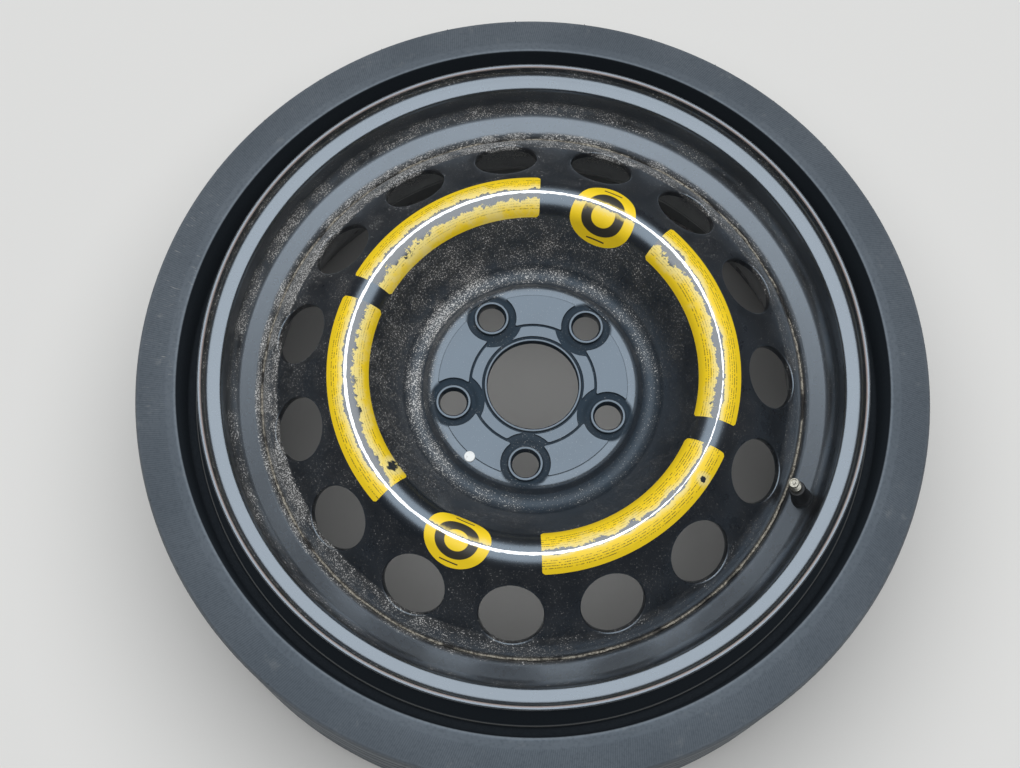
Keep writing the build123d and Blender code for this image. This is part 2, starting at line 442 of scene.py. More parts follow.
def painted_steel(
    name, gloss, film, sheen, dust_bands=(), specks=0.15, dull_spots=None, wear=None,
):
    """Black paint with a thin dust film, and heavier dust in (low, high, amount) bands in mm.

    sheen is the coat's IOR, and specks the share of pale grains outside the bands.
    dull_spots(finish) marks where the paint has no shine. wear(finish) marks where it is worn
    away, and the colour and metal share of what shows there come with it.
    """
    constants = {
        "IOR": 1.72, "Specular Tint": (0.48, 0.74, 1.0, 1),
        "Coat IOR": sheen, "Coat Roughness": 0.3,
    }
    finish = Finish(name, constants)
    patches = finish.noise(14, 4)
    smears = finish.noise(60, 5, 0.65)
    grains = finish.noise(1050, 2, 0.7)
    side = finish.towards(dirty_side) * 0.43 + 0.57
    side = side * (finish.z.rise(-30 * mm, -12 * mm) * 0.75 + 0.25)
    dust = patches.rise(0.40, 0.75) * film
    for low, high, amount in dust_bands:
        dust = dust + finish.radius.band(low * mm, high * mm, 1.2 * mm) * side * amount
    dust = (dust * (smears.rise(0.25, 0.72) * 1.1 + 0.15)).least(1.0)
    grit = (grains + dust * 0.15).rise(0.68, 0.71) * (dust * 1.7 + specks).least(1.0)
    dull = (dust * 0.75 + grit).least(1.0)
    if dull_spots:
        dull = dull.most(dull_spots(finish))
    colour = finish.mix(dust * 0.6, paint_black, dust_brown)
    colour = finish.mix(grit, colour, grit_pale)
    rough = dull * 0.5 + smears * 0.10 + gloss
    if wear:
        worn, worn_colour, metal = wear(finish)
        colour = finish.mix(worn, colour, worn_colour)
        rough = rough * (1 - worn) + worn * 0.36
        dull = dull.most(worn)
        finish.feed({"Metallic": worn * metal})
    finish.feed({"Base Color": colour, "Roughness": rough, "Coat Weight": 1 - dull})
    finish.bump(grains * 0.3 + finish.noise(220, 2) * 0.7 + grit * 2.0, 0.07, 0.4 * mm)
    print(f"{name}: dust in {len(dust_bands)} bands")
    return finish


print(f"dirtiest side at {dirty_side} degrees")

# %% [markdown]
# ## Rim
# The rim is one rolled strip: lip, bead seat, sloping ledge, well, and the same again behind.
# It is drawn as a closed section of bent sheet and spun. The lip's edge is where the wheel has
# been rolled and dragged, so the paint is gone there.

# %% Rim
rim_sheet = 3 * mm
lip_depth = 12 * mm
seat_radius = lip_radius - 13.4 * mm
seat_width = 26 * mm
well_radius = lip_radius - 36.2 * mm
well_depth = 24 * mm
well_width = 50 * mm
ledge_slope = math.radians(20)
well_front = front_lip - lip_depth - seat_width - well_depth * math.tan(ledge_slope)
well_back = well_front - well_width
rim_steps = 240
rim_corners = [
    (lip_radius, front_lip),
    (lip_radius, front_lip - lip_depth),
    (seat_radius, front_lip - lip_depth),
    (seat_radius, front_lip - lip_depth - seat_width),
    (well_radius, well_front),
    (well_radius, well_back),
    (seat_radius, back_lip + lip_depth + seat_width),
    (seat_radius, back_lip + lip_depth),
    (lip_radius, back_lip + lip_depth),
    (lip_radius, back_lip),
]
rim_bends = [8 * mm, 0, 16 * mm, 4 * mm, 14 * mm, 14 * mm, 4 * mm, 7 * mm]
rim_dust = [(186, 196, 1.2), (207.5, 214, 0.9), (225.5, 228.5, 0.6)]


def lip_wear(finish):
    """Thin rubbed line along the top of the front lip."""
    ragged = (finish.noise(150, 4) - 0.5) * 0.5 * mm
    off_top = (finish.radius - (lip_radius - 2.6 * mm)).size() + ragged
    high = finish.z.rise(front_lip - 1.4 * mm, front_lip - 0.7 * mm)
    return off_top.rise(1.0 * mm, 0.5 * mm) * high, worn_edge, 0.0


rim_paint = painted_steel(
    "rim_paint", gloss=0.22, film=0.06, dust_bands=rim_dust, sheen=1.98, wear=lip_wear,
)
rim_section = sheet_section(rim_corners, rim_bends, rim_sheet)
rim_mesh = revolve(*rim_section, rim_steps, bend_steps=6)
add_piece("rolled_rim", rim_mesh, rim_paint, ["rim"])

# %% [markdown]
# ## Pressed disc
# The disc is one pressed sheet. Turning alone can't make it, because it is pierced by round
# vents and bolt holes. So the front face is put together from turned strips and from repeated
# patches: a patch is a rectangle of edges bridged to a circle, wrapped onto the disc and copied
# round. All share one number of steps, so their borders meet vertex to vertex. Solidify then
# gives the sheet its thickness, and only the sharp edges of the vents are bevelled.

# %% Disc sizes
disc_sheet = 5 * mm
hub_floor = disc_sheet
hub_edge = 73.4 * mm
moat_inner = 79 * mm
moat_outer = 88.4 * mm
moat_floor = hub_floor - 9.2 * mm
dish_slope = math.radians(60)
vent_slope = math.radians(40)
crown_bend = 17 * mm
flange_bend = 20 * mm
vent_count = 15
vent_radius = 22.3 * mm
crown_axis = crown_top - crown_bend
crown_radius = (
    moat_outer
    + (crown_axis + crown_bend * math.cos(dish_slope) - moat_floor) / math.tan(dish_slope)
    + crown_bend * math.sin(dish_slope)
)
vent_circle = crown_radius + 37.6 * mm
disc_steps = 14 * vent_count
patch_outer = hub_edge - 2.6 * mm
vents_from = crown_radius + 12.6 * mm
vents_to = flange_radius - 4.2 * mm
slope_start = crown_axis + crown_bend / math.cos(vent_slope)
slope_end = slope_start - (flange_radius - crown_radius) * math.tan(vent_slope)
flange_axis = slope_end - flange_bend * math.tan((math.pi / 2 - vent_slope) / 2)
flange_centre = flange_radius - flange_bend


def disc_height(radius, lift=0.0):
    """Height of the disc's outer face from the dish wall to the flange's bend, plus a lift."""
    bend = crown_bend + lift
    out = radius - crown_radius
    if out < -bend * math.sin(dish_slope):
        return crown_axis + bend / math.cos(dish_slope) + out * math.tan(dish_slope)
    if radius > flange_centre + flange_bend * math.sin(vent_slope):
        return flange_axis + math.sqrt(flange_bend ** 2 - (radius - flange_centre) ** 2)
    if out > bend * math.sin(vent_slope):
        return crown_axis + bend / math.cos(vent_slope) - out * math.tan(vent_slope)
    return crown_axis + math.sqrt(bend * bend - out * out)


print(f"crown radius {crown_radius / mm:.1f} mm, vents on {vent_circle / mm:.1f} mm")


# %% Disc strips
def bent_arc(bm, start, centre, sweep, steps):
    """Arc of a section about a centre, both (radius, height); returns its last vertex."""
    vert = bm.verts.new((start[0], 0, start[1]))
    arc = bmesh.ops.spin(
        bm, geom=[vert], cent=(centre[0], 0, centre[1]), axis=(0, 1, 0), angle=sweep, steps=steps,
    )
    return arc["geom_last"][0]


disc_mesh = bmesh.new()
dish_end = crown_radius - crown_bend * math.sin(dish_slope)
inner_strip = [
    (patch_outer, hub_floor),
    (hub_edge, hub_floor),
    (moat_inner, moat_floor),
    (moat_outer, moat_floor),
    (dish_end, disc_height(dish_end)),
]
hub_bend, moat_bend = 4.2 * mm, 8.0 * mm
draw_run(disc_mesh, inner_strip, [0, hub_bend, moat_bend, moat_bend, 0], steps=10)
crown_end = bent_arc(
    disc_mesh, inner_strip[-1], (crown_radius, crown_axis), dish_slope + vent_slope, steps=18,
)
vents_start = disc_mesh.verts.new((vents_from, 0, disc_height(vents_from)))
disc_mesh.edges.new((crown_end, vents_start))
flange_turn = math.acos((vents_to - flange_centre) / flange_bend)
bend_start, bend_centre = (vents_to, disc_height(vents_to)), (flange_centre, flange_axis)
bend_end = bent_arc(disc_mesh, bend_start, bend_centre, flange_turn, steps=6)
flange_low = disc_mesh.verts.new((flange_radius, 0, flange_end))
disc_mesh.edges.new((bend_end, flange_low))
turn(disc_mesh, disc_steps)
print(f"disc strips: {len(disc_mesh.faces)} faces")


# %% Disc patches
def pierced_patch(bm, count, inner, outer, hole_circle, hole_radius, lean, cuts, height):
    """Ring of count patches between two radii, each pierced by a round hole, at height(place)."""
    columns = disc_steps // count
    patch = bmesh.new()
    bmesh.ops.create_grid(patch, x_segments=columns, y_segments=10, size=0.5)
    middle_verts = [vert for vert in patch.verts if not vert.is_boundary]
    bmesh.ops.delete(patch, geom=middle_verts, context="VERTS")
    border = patch.verts[:]
    for vert in border:
        sweep = vert.co.x * 2 * math.pi / count
        radius = inner + (vert.co.y + 0.5) * (outer - inner)
        vert.co = on_circle(radius, sweep)
    hole = bmesh.ops.create_circle(patch, segments=len(border), radius=hole_radius)
    for vert in hole["verts"]:
        vert.co = (hole_circle + vert.co.x * math.cos(lean), vert.co.y, 0)
    bmesh.ops.bridge_loops(patch, edges=patch.edges[:])
    spokes = [edge for edge in patch.edges if not edge.is_boundary]
    bmesh.ops.subdivide_edges(patch, edges=spokes, cuts=cuts, use_grid_fill=True)
    for vert in patch.verts:
        vert.co.z = height(vert.co.to_2d())
    pour(patch, bm, [2 * math.pi * step / count for step in range(count)])


pocket_depth = 1.7 * mm
pocket_radius = 18.4 * mm
pocket_wall = 4.4 * mm
bolt_clearance = 0.5 * mm


def hub_height(place):
    """Height of the hub face: level, with a round sunken pocket about the bolt on the X axis."""
    away = (place - Vector((bolt_circle, 0))).length
    share = min(max((pocket_radius - away) / pocket_wall, 0), 1)
    return hub_floor - pocket_depth * share * share * (3 - 2 * share)


pierced_patch(
    disc_mesh, vent_count, vents_from, vents_to, vent_circle, vent_radius, lean=vent_slope, cuts=1,
    height=lambda place: disc_height(place.length),
)
pierced_patch(
    disc_mesh, bolt_count, bore_radius, patch_outer, bolt_circle, bolt_hole + bolt_clearance,
    lean=0, cuts=9, height=hub_height,
)
close_up(disc_mesh, 0.02 * mm)
face_up(disc_mesh)
open_edges = [edge for edge in disc_mesh.edges if edge.is_boundary]
print(f"disc face: {len(disc_mesh.faces)} faces, {len(open_edges)} open edges")

# %% Disc thickness and rounded vents
bmesh.ops.solidify(disc_mesh, geom=disc_mesh.faces[:], thickness=disc_sheet)
disc_heights = [vert.co.z / mm for vert in disc_mesh.verts]
print(f"solid disc: {min(disc_heights):.2f} to {max(disc_heights):.2f} mm")
vent_rounding = 1.1 * mm
sharp_angle = math.radians(55)


def vent_edge(edge):
    """True for the sharp edges of a vent, front and back."""
    middle_radius = ((edge.verts[0].co + edge.verts[1].co) / 2).to_2d().length
    among_vents = vents_from - 6 * mm < middle_radius < vents_to + 2 * mm
    return among_vents and edge.calc_face_angle(0) > sharp_angle


sharp = [edge for edge in disc_mesh.edges if vent_edge(edge)]
round_off(disc_mesh, sharp, vent_rounding, 3)
outwards(disc_mesh)
print(f"rounded {len(sharp)} vent edges")

# %% Disc piece
disc_dust = [(70, 78, 0.45), (79, 90, 1.0), (90, 114, 0.6), (140, 178, 0.22), (179, 193, 1.4)]


def dull_places(finish):
    """Dirty pockets about the bolts, the gaps between the pads, and the moat.

    For the pockets, the angle is folded onto one bolt.
    """
    folded = (finish.angle / bolt_pitch + 0.5).math("FRACT") * bolt_pitch - bolt_pitch / 2
    across = finish.radius * folded.math("COSINE") - bolt_circle
    along = finish.radius * folded.math("SINE")
    distance = across.span(along)
    pockets = (distance + (finish.noise(90, 3) - 0.5) * 3 * mm).rise(19.5 * mm, 16 * mm)
    hub_gaps = finish.radius.band(34 * mm, 66.2 * mm, 0.4 * mm)
    moat = finish.radius.band(78 * mm, 92 * mm, 1.5 * mm) * 0.85
    return pockets.most(hub_gaps.most(moat))


def crest_line(finish):
    """Bright line along the top of the crown, thin on the valve's side."""
    ragged = (finish.noise(160, 5, 0.7) - 0.5) * 2.0 * mm
    half = finish.towards(0).rise(0.97, 0.6) * 0.8 * mm + 0.4 * mm
    off_crest = (finish.radius - crown_radius - 0.3 * mm).size() + ragged
    high = finish.z.rise(crown_top - 4 * mm, crown_top - 3 * mm)
    return (1 - off_crest / half).rise(0.0, 0.45) * high


def crown_wear(finish):
    """Bare steel that shows along the crest line."""
    return crest_line(finish), bare_steel, 1.0


disc_paint = painted_steel(
    "disc_paint", gloss=0.22, film=0.18, dust_bands=disc_dust, sheen=1.7, specks=0.3,
    dull_spots=dull_places, wear=crown_wear,
)
add_piece("pressed_disc", disc_mesh, disc_paint, ["wheel_disc"])

# %% [markdown]
# Dirt has dried in the seam between disc and rim. It is a lumpy bead: a small ring whose points
# are pushed about by a smooth noise, so that it is thick in some places and sinks in others.

# %% Seam dirt
seam_height = flange_axis + 4.6 * mm
seam_points = 10
seam_radius = 0.9 * mm
bead = []
for point in range(seam_points):
    across, up, _ = on_circle(seam_radius, 2 * math.pi * point / seam_points)
    bead.append((flange_radius + across, seam_height + up))
seam_mesh = revolve(bead, steps=3 * disc_steps)
for vert in seam_mesh.verts:
    lump = noise.noise(vert.co * 160) + 0.6 * noise.noise(vert.co * 420)
    sink = noise.noise(vert.co * 45) * 1.8 * mm - 0.5 * mm
    away = Vector((vert.co.x, vert.co.y, 0)).normalized()
    vert.co += away * lump * 0.5 * mm + Vector((0, 0, lump * 0.7 * mm + sink))
outwards(seam_mesh)
seam_dirt = Finish("seam_dirt", {"Specular IOR Level": 0.2})
crumbs = seam_dirt.noise(700, 3, 0.7)
damp = seam_dirt.noise(40, 3)
dry_dark, dry_pale = (0.07, 0.06, 0.05, 1), (0.42, 0.38, 0.31, 1)
damp_dark = (0.03, 0.028, 0.026, 1)
dirt_colour = seam_dirt.mix(crumbs.rise(0.35, 0.65), dry_dark, dry_pale)
dirt_colour = seam_dirt.mix(damp.rise(0.52, 0.62), dirt_colour, damp_dark)
seam_dirt.feed({"Base Color": dirt_colour, "Roughness": crumbs * 0.1 + 0.85})
seam_dirt.bump(crumbs, 0.5, 0.4 * mm)
add_piece("seam_dirt", seam_mesh, seam_dirt)

# %% [markdown]
# ## Hub face
# Five low pads and five narrow collars stand on the hub. Each is a flat outline made of arcs, so
# the arcs are spun from single vertices: about the wheel axis for the long sides and about the
# bolts for the hollow ends. The outline is filled, extruded and bevelled, then copied round. The
# rings at the bore and at the bolts are turned.

# %% Pads and collars
def spun_arc(bm, start, centre, sweep, steps):
    """Row of edges from a start point, turned about a centre."""
    vert = bm.verts.new((*start, 0))
    bmesh.ops.spin(bm, geom=[vert], cent=(*centre, 0), axis=(0, 0, 1), angle=sweep, steps=steps)


def between_bolts(name, inner, outer, clearance, low, top, corner, edge, finish):
    """Raised plates between neighbouring bolts, cut back from each bolt by a clearance."""
    bm = bmesh.new()

    def cut_angle(radius):
        near = (radius ** 2 + bolt_circle ** 2 - clearance ** 2) / (2 * radius * bolt_circle)
        return math.acos(max(-1.0, min(1.0, near)))

    outer_cut, inner_cut = cut_angle(outer), cut_angle(inner)
    outer_end = Vector(on_circle(outer, outer_cut)).to_2d()
    inner_end = Vector(on_circle(inner, inner_cut)).to_2d()
    bolt = Vector((bolt_circle, 0))
    hollow = (inner_end - bolt).angle_signed(outer_end - bolt)
    far = Matrix.Rotation(bolt_pitch, 2)
    far_outer, far_inner = [far @ Vector((end.x, -end.y)) for end in (outer_end, inner_end)]
    spun_arc(bm, outer_end, (0, 0), bolt_pitch - 2 * outer_cut, steps=24)
    spun_arc(bm, far_outer, far @ bolt, -hollow, steps=12)
    spun_arc(bm, far_inner, (0, 0), -(bolt_pitch - 2 * inner_cut), steps=16)
    spun_arc(bm, inner_end, bolt, -hollow, steps=12)
    bmesh.ops.remove_doubles(bm, verts=bm.verts, dist=0.02 * mm)
    ends = (outer_end, inner_end, far_outer, far_inner)
    tips = [
        vert for vert in bm.verts
        if any((vert.co.to_2d() - end).length < 0.05 * mm for end in ends)
    ]
    round_off(bm, tips, corner, 4, "VERTICES")
    plate = bmesh.ops.contextual_create(bm, geom=bm.edges[:])["faces"]
    bmesh.ops.translate(bm, verts=bm.verts, vec=(0, 0, low))
    raised = bmesh.ops.extrude_face_region(bm, geom=plate)["geom"]
    lifted = [part for part in raised if isinstance(part, bmesh.types.BMVert)]
    bmesh.ops.translate(bm, verts=lifted, vec=(0, 0, top - low))
    outwards(bm)
    rims = [side for side in bm.edges if all(vert.co.z > top - merge_gap for vert in side.verts)]
    round_off(bm, rims, edge, 3, clamp=True)
    copy_round(bm, bolt_count)
    plates = add_piece(name, bm, finish)
    for face in plates.data.polygons:
        face.use_smooth = abs(face.normal.z) < 0.999


pad_foot, pad_top = hub_floor - 1.5 * mm, hub_floor + 1.3 * mm


def dirty_flanks(finish):
    """Dirt on the rounded sides, below the level tops, and less of it on the outermost side."""
    below_top = finish.z.rise(pad_top - 0.08 * mm, pad_top - 0.35 * mm)
    return below_top * (1 - finish.radius.rise(62 * mm, 65 * mm) * 0.75)


pad_paint = painted_steel(
    "pad_paint", gloss=0.25, film=0.14, sheen=1.62, specks=0.2, dull_spots=dirty_flanks,
)
between_bolts(
    "hub_pads", inner=44.8 * mm, outer=66.6 * mm, clearance=17.4 * mm, low=pad_foot, top=pad_top,
    corner=2.6 * mm, edge=1.1 * mm, finish=pad_paint,
)
between_bolts(
    "bore_collars", inner=35.8 * mm, outer=43.2 * mm, clearance=21.8 * mm, low=pad_foot,
    top=pad_top, corner=2.2 * mm, edge=0.8 * mm, finish=pad_paint,
)

# %% Bore ring and bolt seats
ring_foot, ring_top = 0.4 * mm, pad_top + 0.1 * mm
bore_section = [
    (bore_radius - 0.05 * mm, ring_foot),
    (bore_radius - 0.05 * mm, ring_top),
    (bore_radius + 2.2 * mm, ring_top),
    (bore_radius + 3.0 * mm, ring_foot),
]
ring_mesh = revolve(bore_section, [0, 0.9 * mm, 0.9 * mm, 0], disc_steps)
add_piece("bore_ring", ring_mesh, pad_paint)

seat_section = [
    (bolt_hole, ring_foot),
    (bolt_hole, hub_floor - 1.6 * mm),
    (bolt_hole + 1.1 * mm, ring_top),
    (bolt_hole + 3.1 * mm, ring_top),
    (bolt_hole + 3.1 * mm, ring_foot),
]
seat_mesh = revolve(seat_section, [0, 0, 0.5 * mm, 0.7 * mm, 0])
bmesh.ops.translate(seat_mesh, verts=seat_mesh.verts, vec=(bolt_circle, 0, 0))
copy_round(seat_mesh, bolt_count)
add_piece("bolt_seats", seat_mesh, pad_paint)

# %% [markdown]
# A dab of white paint on the hub's edge is the only bright mark there. It is a low dome, turned
# about its own middle.

# %% Paint dab
dab_angle = math.radians(253)
dab_circle = 68.2 * mm
dab_low = hub_floor - 1 * mm
dab_section = [
    (0, pad_top + 0.4 * mm),
    (3.8 * mm, pad_top + 0.2 * mm),
    (3.9 * mm, dab_low),
    (0, dab_low),
]
dab_mesh = revolve(dab_section, [0, 0.5 * mm, 0, 0], steps=40, closed=False)
bmesh.ops.translate(dab_mesh, verts=dab_mesh.verts, vec=on_circle(dab_circle, dab_angle))
dab_paint = Finish("dab_paint", {"Roughness": 0.5})
dab_white, dab_soiled = (0.82, 0.82, 0.80, 1), (0.60, 0.59, 0.56, 1)
dab_soil = dab_paint.noise(500, 3).rise(0.55, 0.75)
dab_paint.feed({"Base Color": dab_paint.mix(dab_soil, dab_white, dab_soiled)})
add_piece("paint_dab", dab_mesh, dab_paint)

# %% [markdown]
# ## Tyre
# The tyre is folded: each sidewall dives into a deep groove beside the rim lip and comes up again
# to a broad, almost level band. Half of the section is drawn and turned, and a mirror makes the
# other half. Rubber has no sharp edges, so every corner of the section is rounded.

# %% Tyre sizes
bead_seat = lip_radius - 12.1 * mm
bead_heel = front_lip - lip_depth - 0.1 * mm
bead_width = 19 * mm
groove_inner = lip_radius + 7 * mm
groove_outer = groove_inner + 6 * mm
groove_floor = front_lip - 46 * mm
bead_ridge = groove_inner - 1.5 * mm
ridge_height = groove_floor + 6 * mm
crest_inner = groove_outer + 3 * mm
crest_outer = crest_inner + 2 * mm
shoulder = tyre_radius - 1.5 * mm
wall_height = tyre_front - 9 * mm
tread_edge = wall_height - 5 * mm
casing = 8 * mm
tread_inside = tyre_radius - 11 * mm
tread_floor = tyre_radius - 4 * mm
tread_grooves = [tread_edge - 20 * mm, tread_edge - 46 * mm]
print(f"sidewall from {crest_inner / mm:.1f} to {shoulder / mm:.1f} mm")


# %% Tyre finish
def tyre_rubber():
    """Slate rubber with fine radial hatching and pale scuffs; painted edge highlight, painted
    groove shade.
    """
    constants = {"Specular IOR Level": 0.75, "Specular Tint": (0.65, 0.83, 1.0, 1)}
    finish = Finish("tyre_rubber", constants)
    radius, angle, z = finish.radius, finish.angle, finish.z
    patches = finish.noise(9, 4)
    fine = finish.noise(420, 3, 0.6)
    streaks = finish.noise(70, 5, 0.7)
    slant = {"X": angle * 230 + radius * 150, "Y": radius * 110}
    slanted = finish.node("ShaderNodeCombineXYZ", {}, slant)
    scratches = finish.noise(1.0, 3, 0.6, slanted).rise(0.60, 0.72)
    level = z.rise(tyre_front - 16 * mm, tyre_front - 8 * mm)
    hatch = (angle * 1100 + radius * 900).math("SINE") * 0.5 + 0.5
    hatched = radius.band(254 * mm, 273.5 * mm, 1.0 * mm) * level
    scuffed = finish.towards(190).rise(0.92, 0.99) * scratches * streaks.rise(0.42, 0.58) * level
    # Painted highlight: a thin pale line along the top of the sidewall's inner edge, where the
    # rounded edge catches the light.
    edge_highlight = radius.band(crest_inner + 0.6 * mm, crest_inner + 1.4 * mm, 0.5 * mm)
    edge_highlight = edge_highlight * z.rise(tyre_front - 2 * mm, tyre_front - 1 * mm)
    bead_line = radius.band(bead_ridge + 0.2 * mm, bead_ridge + 0.9 * mm, 0.2 * mm)
    # The groove band is painted near black below: painted shade in the deep recess beside the rim
    # lip. It also makes the rubber there rougher.
    groove = radius.band(226 * mm, crest_inner + 0.1 * mm, 0.35 * mm)
    tread = radius.rise(tyre_radius - 1.2 * mm, tyre_radius - 0.6 * mm)
    colour = finish.mix(
        patches.rise(0.35, 0.7), (0.084, 0.093, 0.104, 1), (0.110, 0.120, 0.132, 1),
    )
    layers = [
        (hatched * hatch * 0.42, (0.030, 0.034, 0.039, 1)),
        (fine.rise(0.45, 0.70) * 0.35, (0.040, 0.044, 0.049, 1)),
        (streaks.rise(0.58, 0.75) * level * 0.35, (0.20, 0.20, 0.195, 1)),
        (scuffed * 0.7, (0.34, 0.33, 0.31, 1)),
        # painted shade: the groove's rubber coloured near black
        (groove * 0.9, (0.006, 0.006, 0.007, 1)),
        (tread * 0.55, (0.040, 0.043, 0.047, 1)),
        # painted highlight along the sidewall's inner edge
        (edge_highlight * 0.3, (0.20, 0.20, 0.20, 1)),
        (bead_line * 0.45, (0.26, 0.25, 0.23, 1)),
    ]
    for mask, over in layers:
        colour = finish.mix(mask, colour, over)
    finish.feed({"Base Color": colour, "Roughness": fine * 0.2 + groove * 0.3 + 0.50})
    finish.bump(hatched * hatch * 0.6 + fine * 0.3 + streaks * 0.3, 0.3, 0.35 * mm)
    return finish


rubber = tyre_rubber()
print("finish:", rubber.material.name)

# %% Tyre
ridge_shape = [(-0.3, 1.2), (0.9, 0.4), (0.9, -0.4), (0.3, -1.2)]
tyre_corners = [
    (tread_inside, middle),
    (tread_inside, tread_edge),
    (crest_inner + 5 * mm, tyre_front - casing),
    (groove_outer + casing, groove_floor - casing),
    (groove_inner - casing, groove_floor - casing),
    (bead_seat, bead_heel - bead_width),
    (bead_seat, bead_heel),
    (lip_radius - 1.5 * mm, bead_heel),
    *[(bead_ridge + out * mm, ridge_height + up * mm) for out, up in ridge_shape],
    (groove_inner, groove_floor),
    (groove_outer, groove_floor),
    (crest_inner, tyre_front),
    (crest_outer, tyre_front),
    (shoulder, wall_height),
    (tyre_radius, tread_edge),
]
tyre_bends = [0, 6, 6, 4, 4, 2, 3, 2, 0.4, 0.3, 0.3, 0.4, 2.4, 2.4, 0.8, 3, 2.5, 6]
for top in tread_grooves:
    tyre_corners += [
        (tyre_radius, top),
        (tread_floor, top - 1 * mm),
        (tread_floor, top - 5 * mm),
        (tyre_radius, top - 6 * mm),
    ]
    tyre_bends += [0.8] * 4
tyre_corners.append((tyre_radius, middle))
tyre_bends = [bend * mm for bend in [*tyre_bends, 0]]
tyre_mesh = revolve(tyre_corners, tyre_bends, steps=360, closed=False)
bmesh.ops.mirror(
    tyre_mesh, geom=tyre_mesh.verts[:] + tyre_mesh.edges[:] + tyre_mesh.faces[:],
    matrix=Matrix.Translation((0, 0, -middle)), merge_dist=0.01 * mm, axis="Z",
)
close_up(tyre_mesh, 0.01 * mm)
add_piece("folded_tyre", tyre_mesh, rubber, ["tyre"])

# %% [markdown]
# The mould's air vents leave little rubber hairs along both edges of the sidewall. One hair is a
# slim cone; a spin with duplicates sets the rest round the tyre, and a second row does the other
# edge.

# %% Moulding hairs
hair_mesh = bmesh.new()
hair_count = 34
hair_rows = [
    (shoulder - 1.0 * mm, wall_height + 0.2 * mm, 38),
    (crest_inner + 1.2 * mm, tyre_front - 1.2 * mm, -55),
]
for hair_radius, hair_foot, lean in hair_rows:
    hair = bmesh.ops.create_cone(
        hair_mesh, segments=6, radius1=0.5 * mm, radius2=0.2 * mm, depth=2.2 * mm, cap_ends=True,
    )
    leaning = Matrix.Rotation(math.radians(lean), 4, "Y")
    staggered = Matrix.Rotation(math.radians(hair_foot / mm), 4, "Z")
    place = staggered @ Matrix.Translation((hair_radius, 0, hair_foot)) @ leaning
    bmesh.ops.transform(hair_mesh, matrix=place, verts=hair["verts"])
copy_round(hair_mesh, hair_count)
add_piece("moulding_hairs", hair_mesh, rubber)

# %% [markdown]
# ## Yellow labels
# Four arc labels and two round ones are thin yellow film, stuck over the crown. Sliding in and
# out of a car has rubbed them through along the top of the crown. The film is a strip of the
# crown's own section, lifted by its thickness and turned through the label's angle; its corners
# are rounded by shortening the outer rows. Thin dark rules run along the arcs, and the round ones
# have a bold ring.

# %% Label finish
tears = [(62, 123, 3.5), (165, 124, 4), (239, 117, 4), (349, 137, 2.5)]
film_yellow, film_faded = (1.0, 0.68, 0.012, 1), (0.92, 0.77, 0.32, 1)
mark_dark, paint_below = (0.035, 0.030, 0.020, 1), (0.022, 0.025, 0.030, 1)


def label_film(name, marks, least, widest):
    """Yellow film, rubbed through along the crown; marks(finish) says where it is dark.

    The rubbed strip reaches out by least, and by up to widest more on its worst side.
    """
    constants = {
        "Specular IOR Level": 0.6, "Coat IOR": 1.75, "Coat Roughness": 0.24,
        "Coat Tint": (0.9, 0.96, 1.0, 1),
    }
    finish = Finish(name, constants)
    speckle = finish.noise(520, 3, 0.7)
    patches = finish.noise(120, 4, 0.65)
    reach = finish.noise(30, 2).rise(0.35, 0.65) * 1.5 * least
    reach = reach + finish.towards(140).rise(-0.4, 0.7) * widest + least
    outside = finish.radius - crown_radius
    rub = 1 - outside.most(outside * -0.5) / reach
    for angle, radius, size in tears:
        tear = on_circle(radius * mm, math.radians(angle))
        across, along = finish.x - tear[0], finish.y - tear[1]
        rub = rub.most(1 - across.span(along) / (size * mm))
    rub = rub + (patches - 0.5) * 2.0 + (speckle - 0.5) * 1.3
    rubbed = rub.rise(0.05, 0.25)
    faded = rub.rise(-1.6, 0.1)
    line = crest_line(finish)
    colour = finish.mix(faded * 0.75, film_yellow, film_faded)
    colour = finish.mix(marks(finish) * (1 - faded * 0.7), colour, mark_dark)
    colour = finish.mix(rubbed, colour, paint_below)
    colour = finish.mix(line, colour, bare_steel)
    rough = 0.42 + patches * 0.15 - line * 0.16 - rubbed * 0.18
    finish.feed({"Base Color": colour, "Roughness": rough})
    finish.feed({"Metallic": line, "Coat Weight": rubbed * (1 - line)})
    finish.bump(rubbed * -0.6 + speckle * 0.25, 0.25, 0.2 * mm)
    return finish


print(f"label film with {len(tears)} tears")


# %% Label marks
def rule_marks(finish):
    """Rows of short dark rules along the label, of uneven length."""
    row_pitch = 1.6 * mm
    row = (finish.radius / row_pitch).math("FLOOR")
    where = finish.node("ShaderNodeCombineXYZ", {}, {"X": finish.angle * 34, "Y": row * 7.3})
    broken = finish.noise(0.9, 1, 0.5, where).rise(0.40, 0.43)
    fine = finish.noise(7.0, 2, 0.5, where).rise(0.40, 0.52)
    filled = finish.noise(0.16, 0, 0.5, where).rise(0.25, 0.28)
    across = (finish.radius / row_pitch).math("FRACT")
    rules = across.band(0.30, 0.62, 0.08)
    inner_zone = finish.radius.band(116.4 * mm, 125.6 * mm, 0.2 * mm)
    outer_zone = finish.radius.band(133.4 * mm, 139.2 * mm, 0.2 * mm)
    return rules * broken * fine * filled * (inner_zone + outer_zone) * 0.8


def ring_marks(finish):
    """One bold plain ring and two short rules, drawn on the label's flat map."""
    flat = finish.node("ShaderNodeUVMap", {"uv_map": "flat"}, {})
    across, along = finish.share(flat, "X"), finish.share(flat, "Y")
    away = across.span(along)
    rules = across.size().band(0.78, 0.83, 0.01) * along.size().rise(0.30, 0.28)
    return away.band(0.36, 0.66, 0.012).most(rules)


arc_film = label_film("arc_film", rule_marks, 1.0 * mm, 1.9 * mm)
round_film = label_film("round_film", ring_marks, 0.5 * mm, 0.1 * mm)
print("finishes:", arc_film.material.name, round_film.material.name)

